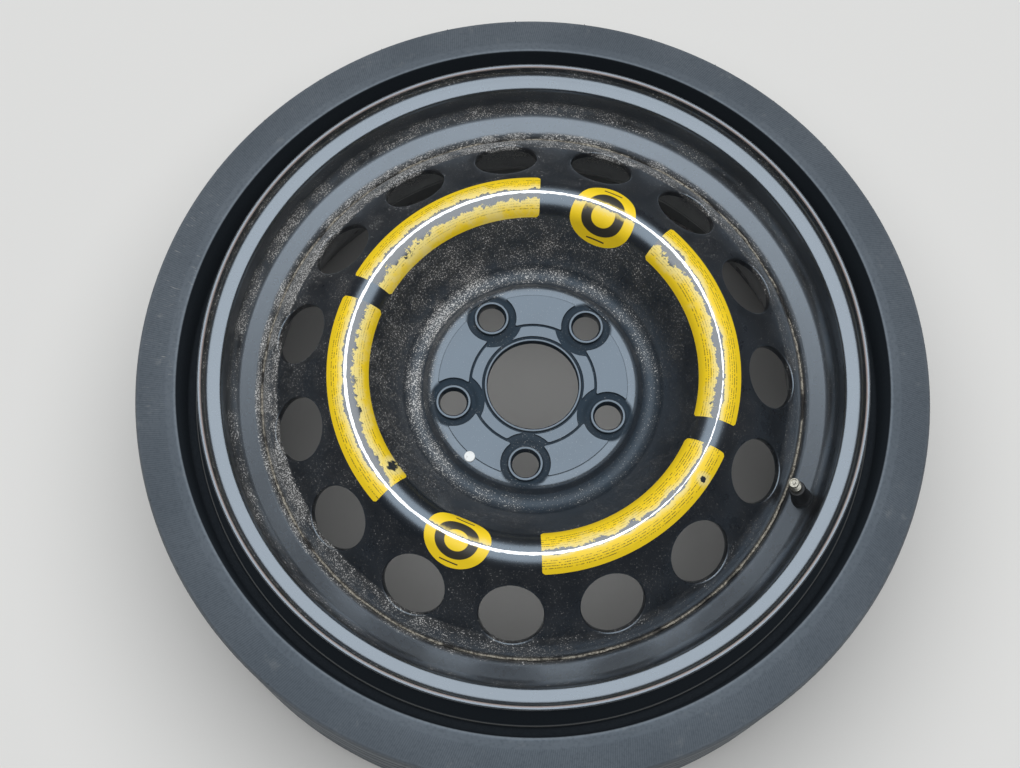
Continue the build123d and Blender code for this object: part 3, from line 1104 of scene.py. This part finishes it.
# %% Arc labels
film_thickness = 0.08 * mm
label_lift = 0.06 * mm
label_inner = crown_radius - (crown_bend + label_lift) * math.sin(dish_slope) - 0.5 * mm
label_outer = crown_radius + (crown_bend + label_lift) * math.sin(vent_slope) + 2.4 * mm
label_sweep = math.radians(63.3)
label_starts = [7.0, 111.3, 181.2, 295.4]
label_rows = 26
corner_round = 1.8 * mm
label_steps = 72
row_height = (label_outer - label_inner) / label_rows
row_radii = [label_inner + row_height * row for row in range(label_rows + 1)]
film_corners = [(radius, disc_height(radius, label_lift)) for radius in row_radii]
arc_mesh = bmesh.new()
strip = bmesh.new()
draw_run(strip, film_corners)
sweep_round(strip, label_sweep, label_steps)
for vert in strip.verts:
    radius = vert.co.to_2d().length
    edge_gap = min(radius - label_inner, label_outer - radius)
    short = max(corner_round - edge_gap, 0)
    inset = (corner_round - math.sqrt(max(corner_round ** 2 - short ** 2, 0))) / radius
    angle = math.atan2(vert.co.y, vert.co.x)
    angle = inset + angle * (label_sweep - 2 * inset) / label_sweep
    vert.co = on_circle(radius, angle, vert.co.z)
pour(strip, arc_mesh, [math.radians(start) for start in label_starts])
face_up(arc_mesh)
bmesh.ops.solidify(arc_mesh, geom=arc_mesh.faces[:], thickness=film_thickness)
add_piece("arc_films", arc_mesh, arc_film, ["arc_labels"])

# %% Round labels
round_radius = 23 * mm
round_places = [(89.7, -7.0 * mm, 1.13), (269.9, 2.0 * mm, 0.88)]
round_rows = 16


def crown_point(along):
    """Radius and height on the labels' surface, a length along the section from the crest."""
    bend = crown_bend + label_lift
    lean = min(max(along / bend, -dish_slope), vent_slope)
    rest = along - lean * bend
    radius = crown_radius + bend * math.sin(lean) + rest * math.cos(lean)
    return radius, crown_axis + bend * math.cos(lean) - rest * math.sin(lean)


round_mesh = bmesh.new()
for angle, shift, stretch in round_places:
    spoke = [(round_radius * row / round_rows, 0) for row in range(round_rows + 1)]
    sticker = revolve(spoke, closed=False)
    flat_map = sticker.loops.layers.uv.new("flat")
    for face in sticker.faces:
        for loop in face.loops:
            loop[flat_map].uv = loop.vert.co.to_2d() / round_radius
    for vert in sticker.verts:
        radius, height = crown_point(vert.co.x * stretch + shift)
        turned = math.radians(angle) + vert.co.y / radius
        vert.co = on_circle(radius, turned, height)
    pour(sticker, round_mesh)
face_up(round_mesh)
bmesh.ops.solidify(round_mesh, geom=round_mesh.faces[:], thickness=film_thickness)
add_piece("round_films", round_mesh, round_film, ["round_labels"])

# %% [markdown]
# ## Valve
# The snap-in valve stands square to the ledge: a tapered rubber body and a threaded metal stem.
# Both are turned about the valve's own axis, upright at the origin, and then moved into place in
# the mesh. The thread is a helix: spin takes a step along the axis with every turn.

# %% Valve
valve_end = mounts["valve_end"]
valve_axis = Vector(valve_end["axis"]).normalized()
valve_mouth = Vector(valve_end["pos_m"]) + valve_axis * valve_end["dims"]["length_mm"] / 2 * mm
valve_height = 32 * mm
valve_place = standing(valve_mouth - valve_axis * valve_height, valve_axis)


def plain_finish(name, colour, rough, metal, grain):
    """One colour with a mottled tone, for small pieces."""
    finish = Finish(name, {"Metallic": metal})
    mottle = finish.noise(grain, 3)
    dark = tuple(c * 0.55 for c in colour) + (1,)
    finish.feed({"Base Color": finish.mix(mottle.rise(0.35, 0.7), dark, (*colour, 1))})
    finish.feed({"Roughness": mottle * 0.25 + (rough - 0.12)})
    finish.bump(mottle, 0.15, 0.1 * mm)
    return finish


def in_mm(section):
    """A section's corners, from millimetres."""
    return [(radius * mm, height * mm) for radius, height in section]


valve_rubber = plain_finish("valve_rubber", (0.020, 0.020, 0.021), 0.55, 0.0, 600)
valve_metal = plain_finish("valve_metal", (0.58, 0.55, 0.47), 0.38, 1.0, 900)
body_section = [
    (3.45, -11.05), (9.5, -11.05), (9.5, -3.05), (5.7, -3.05), (5.7, 0.05), (7.3, 0.05),
    (7.1, 4.0), (6.3, 5.0), (5.7, 20.2), (5.3, 21.0), (3.45, 21.0),
]
body_bends = [0, 2.0, 0.8, 0.3, 0, 0.6, 0.8, 1.0, 0.4, 0.4, 0]
body_mesh = revolve(in_mm(body_section), [bend * mm for bend in body_bends])
move(body_mesh, valve_place)
add_piece("valve_rubber_body", body_mesh, valve_rubber, ["valve_body"])

# %% Threaded stem
stem_section = [
    (1.33, -11.05), (3.4, -11.05), (3.4, 21.05), (3.85, 21.05), (3.85, 23.6), (3.45, 24.0),
    (3.45, 31.4), (3.2, 32.0), (2.6, 32.0), (2.6, 13.0), (1.33, 13.0),
]
stem_mesh = revolve(in_mm(stem_section))
thread_pitch = 0.8 * mm
thread_turns = 8
thread_section = [(3.40, 24.3), (3.84, 24.6), (3.84, 24.7), (3.40, 25.0)]
ridge = bmesh.new()
draw_run(ridge, in_mm(thread_section), closed=True)
wind(ridge, thread_turns, turn_steps=40, rise=thread_pitch * thread_turns)
pour(ridge, stem_mesh)
move(stem_mesh, valve_place)
add_piece("valve_thread_stem", stem_mesh, valve_metal, ["valve_stem"])

# %% [markdown]
# Inside the stem a small spring keeps the valve shut. It is a round wire, so a circle is spun
# with a step along the axis, and both ends are filled. When the pin is pressed, the coils close
# up. The spring gets a mesh of its own.

# %% Valve spring
spring_low, spring_high = 13.05 * mm, 19.4 * mm
spring_wire = 0.4 * mm
spring_coil = 1.7 * mm
spring_turns = 4
spring_mesh = bmesh.new()
bmesh.ops.create_circle(spring_mesh, segments=8, radius=spring_wire / 2)
upright = Matrix.Rotation(math.pi / 2, 4, "X")
wire_start = Matrix.Translation((spring_coil, 0, spring_low + spring_wire / 2)) @ upright
move(spring_mesh, wire_start)
spring_rise = spring_high - spring_low - spring_wire
wind(spring_mesh, spring_turns, turn_steps=36, rise=spring_rise)
move(spring_mesh, valve_place)
spring_steel = plain_finish("spring_steel", (0.60, 0.60, 0.60), 0.3, 1.0, 900)
spring = add_piece("valve_spring", spring_mesh, spring_steel, ["core_spring"])
spring_foot = valve_place @ Vector((0, 0, spring_low))
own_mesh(spring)

# %% [markdown]
# ## Nodes that stay
# The valve's inner pieces and the weld beads keep their solids. They get finishes of their own.

# %% Finishes for the solids that stay
weld_dust = [(180, 193, 0.5)]
weld_paint = painted_steel("weld_paint", gloss=0.34, film=0.1, dust_bands=weld_dust, sheen=1.65)
seal_rubber = plain_finish("seal_rubber", (0.10, 0.10, 0.10), 0.6, 0.0, 900)
kept = {
    "weld_beads": weld_paint, "core_plug": valve_metal, "core_barrel": valve_metal,
    "core_pin": valve_metal, "core_seal": seal_rubber, "cup_seal": seal_rubber,
}
for node, finish in kept.items():
    mesh = frame["nodes"][node].data
    mesh.materials.clear()
    mesh.materials.append(finish.material)
print("kept solids:", ", ".join(kept))
